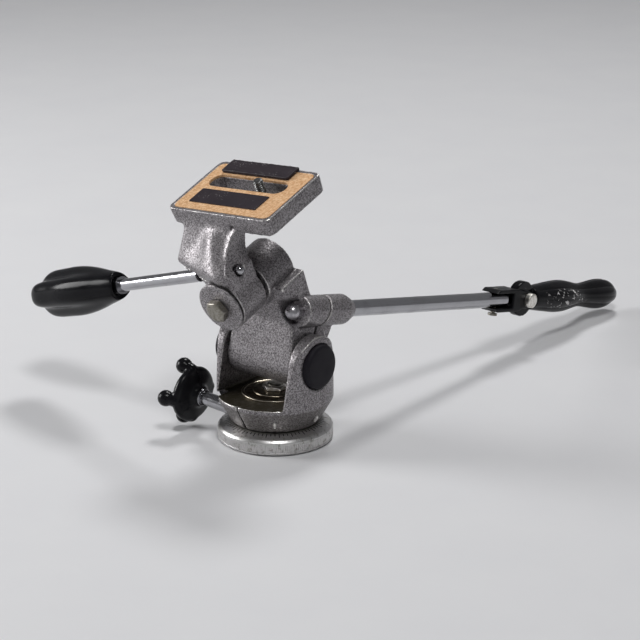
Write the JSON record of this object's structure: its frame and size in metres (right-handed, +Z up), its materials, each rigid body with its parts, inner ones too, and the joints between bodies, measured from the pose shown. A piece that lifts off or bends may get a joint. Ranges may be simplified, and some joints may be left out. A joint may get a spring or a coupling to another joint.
{
  "type": "three way pan tilt head",
  "caption": "Cast metal camera head with pan, fore and aft tilt and side tilt, clamp handles, a pan knob and a cork faced camera plate with a sliding screw.",
  "frame": {"origin": "middle of the base disc's underside, on the pan axis", "axes": "+Z up along the pan axis; +X along the tilt axis, away from the pan knob; +Y towards the tilt handle, so -Y is the camera's front"},
  "size_m": [0.2221, 0.4119, 0.1762],
  "materials": {
    "hammertone": "hammered grey metallic enamel, worn bright on the edges",
    "machined": "turned, matt",
    "steel": "polished plating",
    "bright_steel": "turned",
    "black_plastic": "smooth moulded",
    "black_metal": "semi gloss black",
    "cork": "fine grained cork",
    "black_strip": "dark adhesive strip",
    "friction": "fibre and rubber"
  },
  "bodies": {
    "base": {"base_disc": "machined", "pan_post": "steel", "pan_friction_ring": "friction", "pan_spring_washer": "bright_steel", "pan_nut": "bright_steel"},
    "yoke": {"pan_yoke": "hammertone", "tilt_axle": "bright_steel", "tilt_washer_right": "friction", "tilt_washer_left": "friction", "axle_washer_right": "bright_steel", "axle_washer_left": "bright_steel", "axle_screw_right": "bright_steel", "axle_screw_left": "bright_steel", "ear_cap_right": "black_plastic", "ear_cap_left": "black_plastic"},
    "pan_lock": {"pan_lock_rod": "steel", "pan_lock_knob": "black_plastic"},
    "tilt_body": {"tilt_casting": "hammertone", "tilt_ball_nut": "bright_steel", "side_tilt_spindle": "bright_steel", "side_tilt_end_disc": "machined", "side_tilt_bolt": "bright_steel"},
    "platform": {"platform_bracket": "hammertone", "cork_pad": "cork", "front_strip": "black_strip", "rear_strip": "black_strip", "side_ball_nut": "bright_steel"},
    "carriage": {"camera_washer": "bright_steel"},
    "camera_screw": {"camera_screw": "steel", "camera_knob": "black_plastic"},
    "side_handle": {"side_handle_rod": "steel", "side_ferrule": "steel", "side_grip": "black_plastic"},
    "tilt_handle": {"tilt_handle_rod": "steel", "handle_knuckle": "black_metal", "knuckle_screw": "steel", "fold_pin": "steel"},
    "handle_grip": {"folding_grip": "black_plastic"}
  },
  "joints": [
    {"name": "pan", "type": "hinge", "parent": "base", "child": "yoke", "pos_m": [0, 0, 0], "axis": [0, 0, 1], "continuous": true},
    {"name": "pan_lock", "type": "hinge", "parent": "yoke", "child": "pan_lock", "pos_m": [0, -0.0236, 0.021], "axis": [-0.9981, 0, 0.061], "range_deg": [-120, 0]},
    {"name": "tilt", "type": "hinge", "parent": "yoke", "child": "tilt_body", "pos_m": [0, 0, 0.0538], "axis": [1, 0, 0], "range_deg": [-60, 69]},
    {"name": "side_tilt", "type": "hinge", "parent": "tilt_body", "child": "platform", "pos_m": [0, -0.02042, 0.10755], "axis": [0, 0.9348, 0.3551], "range_deg": [-36, 90]},
    {"name": "tilt_handle_turn", "type": "hinge", "parent": "tilt_body", "child": "tilt_handle", "pos_m": [0.022, 0.00665, 0.0851], "axis": [0, 0.9781, -0.2079], "range_deg": [-90, 90]},
    {"name": "grip_fold", "type": "hinge", "parent": "tilt_handle", "child": "handle_grip", "pos_m": [0.022, 0.23456, 0.03666], "axis": [1, 0, 0], "range_deg": [-100, 90]},
    {"name": "side_handle_turn", "type": "hinge", "parent": "platform", "child": "side_handle", "pos_m": [0.01271, -0.04548, 0.1217], "axis": [-0.948, 0.113, -0.2974], "range_deg": [-90, 90]},
    {"name": "camera_slide", "type": "slide", "parent": "platform", "child": "carriage", "axis": [0.9966, -0.0294, 0.0774], "range_m": [-0.034, 0.016]},
    {"name": "camera_screw_turn", "type": "hinge", "parent": "carriage", "child": "camera_screw", "pos_m": [0.00292, -0.01681, 0.16564], "axis": [-0.0828, -0.3539, 0.9316], "continuous": true}
  ]
}
